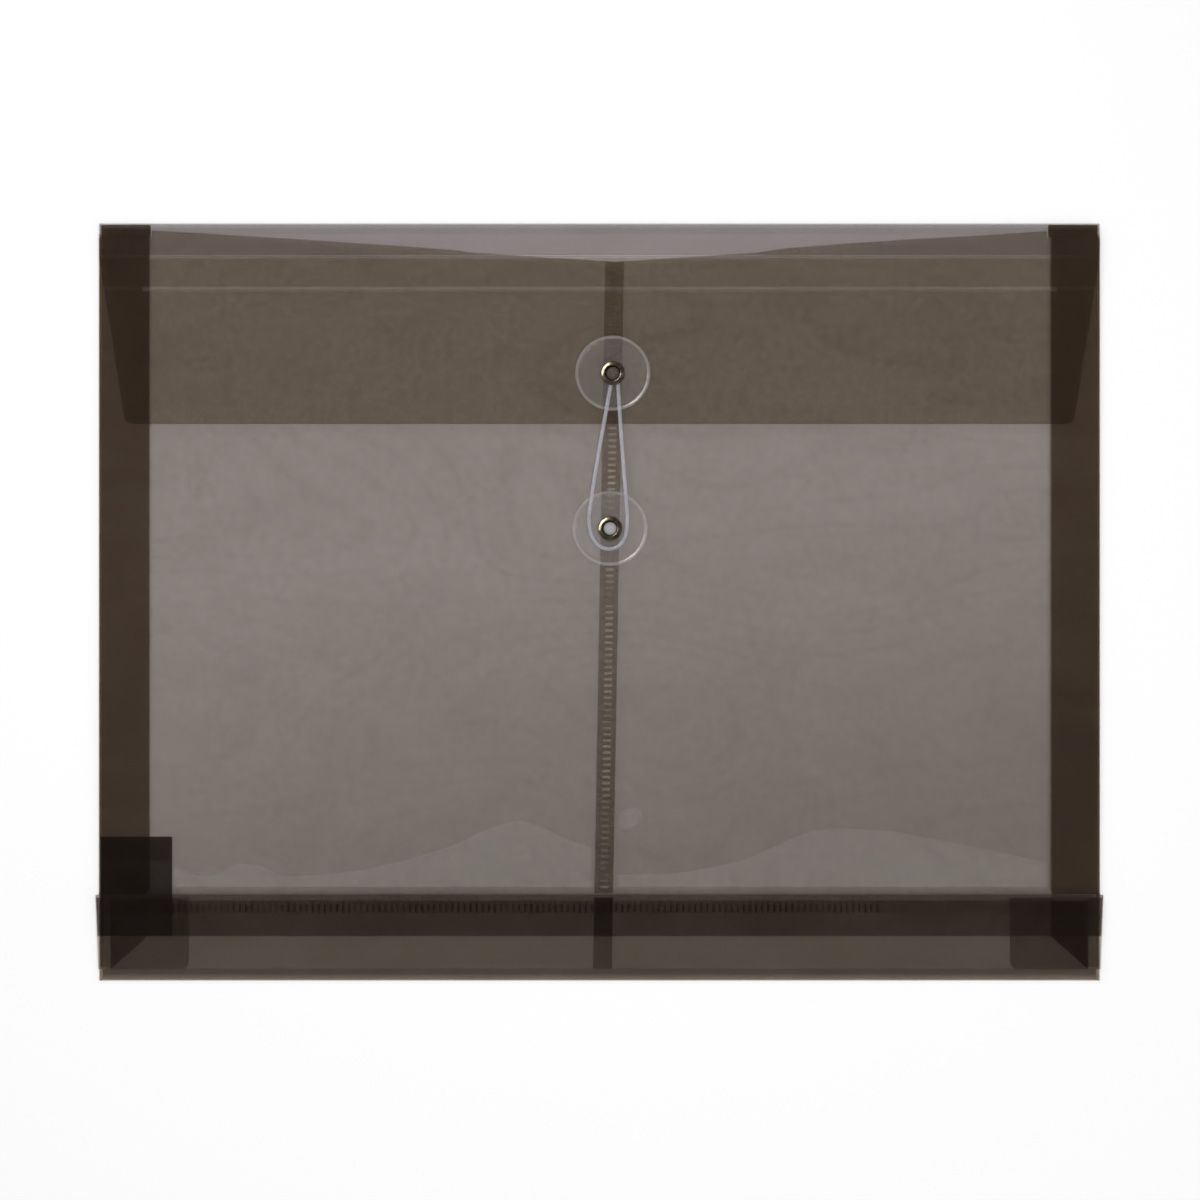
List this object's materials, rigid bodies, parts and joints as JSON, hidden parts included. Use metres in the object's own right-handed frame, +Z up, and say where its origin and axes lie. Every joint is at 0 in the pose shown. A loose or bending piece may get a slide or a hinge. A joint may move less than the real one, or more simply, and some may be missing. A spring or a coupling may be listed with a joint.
{
  "type": "string tie envelope",
  "caption": "Flat landscape document envelope of smoky translucent sheet with a tapered flap, folded side gussets, a welded bottom and a clear string tie looped round disc buttons on eyelets.",
  "frame": {"origin": "middle of the envelope on the table it lies on", "axes": "+X to the right across the envelope, +Y from its bottom edge to the flap fold, +Z up out of the front"},
  "size_m": [0.322, 0.242, 0.0066],
  "materials": {
    "sheet": "smoky translucent sheet, smooth with a soft sheen",
    "button": "clear moulded disc",
    "eyelet": "antique brass",
    "string": "clear round cord"
  },
  "bodies": {
    "back": {"back_panel": "sheet", "bottom_rim": "sheet", "left_corner_tuck": "sheet", "left_rear_fold": "sheet", "right_rear_fold": "sheet", "top_fold": "sheet"},
    "front": {"front_left_panel": "sheet", "front_right_panel": "sheet", "left_front_fold": "sheet", "right_front_fold": "sheet", "bottom_crease": "sheet", "lower_eyelet": "eyelet"},
    "lower_disc": {"lower_disc": "button"},
    "left_gusset_rear": {"left_gusset_rear_leaf": "sheet", "left_inner_fold": "sheet"},
    "right_gusset_rear": {"right_gusset_rear_leaf": "sheet", "right_inner_fold": "sheet"},
    "left_gusset_front": {"left_gusset_front_leaf": "sheet"},
    "right_gusset_front": {"right_gusset_front_leaf": "sheet"},
    "bottom": {"bottom_outer_flap": "sheet", "bottom_inner_flap": "sheet", "bottom_weld_strip": "sheet", "bottom_hem": "sheet", "bottom_seam_strip": "sheet", "left_ear": "sheet", "right_ear": "sheet", "left_ear_fold": "sheet", "right_ear_fold": "sheet"},
    "flap_spine_upper": {"flap_spine_upper": "sheet", "upper_score_line": "sheet"},
    "flap_spine_lower": {"flap_spine_lower": "sheet", "lower_score_line": "sheet"},
    "flap": {"flap_panel": "sheet", "upper_eyelet": "eyelet", "tie_string": "string"},
    "upper_disc": {"upper_disc": "button"}
  },
  "joints": [
    {"name": "flap_fold", "type": "hinge", "parent": "back", "child": "flap_spine_upper", "pos_m": [0, 0.11943, 0.00158], "axis": [-1, 0, 0], "range_deg": [0, 170], "deforming": ["tie_string"]},
    {"name": "upper_score_fold", "type": "hinge", "parent": "flap_spine_upper", "child": "flap_spine_lower", "pos_m": [0, 0.1104, 0.003], "axis": [-1, 0, 0], "range_deg": [0, 60], "deforming": ["tie_string"]},
    {"name": "lower_score_fold", "type": "hinge", "parent": "flap_spine_lower", "child": "flap", "pos_m": [0, 0.1003, 0.003], "axis": [-1, 0, 0], "range_deg": [0, 60], "deforming": ["tie_string"]},
    {"name": "pocket_expand", "type": "slide", "parent": "back", "child": "front", "axis": [0, -0.3991, 0.9169], "range_m": [0, 0.0218]},
    {"name": "left_gusset_rear_fold", "type": "hinge", "parent": "back", "child": "left_gusset_rear", "pos_m": [-0.15948, 0, 0.00052], "axis": [0, -1, 0], "range_deg": [0, 37.51]},
    {"name": "right_gusset_rear_fold", "type": "hinge", "parent": "back", "child": "right_gusset_rear", "pos_m": [0.15948, 0, 0.00052], "axis": [0, 1, 0], "range_deg": [0, 37.51]},
    {"name": "left_gusset_front_fold", "type": "hinge", "parent": "front", "child": "left_gusset_front", "pos_m": [-0.15962, 0, 0.00158], "axis": [0, 1, 0], "range_deg": [0, 37.51]},
    {"name": "right_gusset_front_fold", "type": "hinge", "parent": "front", "child": "right_gusset_front", "pos_m": [0.15962, 0, 0.00158], "axis": [0, -1, 0], "range_deg": [0, 37.51]},
    {"name": "bottom_fold", "type": "hinge", "parent": "front", "child": "bottom", "pos_m": [0, -0.0933, 0.0018], "axis": [1, 0, 0], "range_deg": [0, 47.06]},
    {"name": "upper_disc_spin", "type": "hinge", "parent": "flap", "child": "upper_disc", "pos_m": [0.00427, 0.073, 0.0056], "axis": [0, 0, 1], "continuous": true},
    {"name": "lower_disc_spin", "type": "hinge", "parent": "front", "child": "lower_disc", "pos_m": [0.00341, 0.0235, 0.0047], "axis": [0, 0, 1], "continuous": true}
  ],
  "couplings": [
    {"joint": "flap_fold", "follows": "pocket_expand", "rad_per_m": 136.02},
    {"joint": "left_gusset_rear_fold", "follows": "pocket_expand", "rad_per_m": 30.005},
    {"joint": "right_gusset_rear_fold", "follows": "pocket_expand", "rad_per_m": 30.005},
    {"joint": "left_gusset_front_fold", "follows": "pocket_expand", "rad_per_m": 30.005},
    {"joint": "right_gusset_front_fold", "follows": "pocket_expand", "rad_per_m": 30.005},
    {"joint": "bottom_fold", "follows": "pocket_expand", "rad_per_m": 37.645}
  ]
}
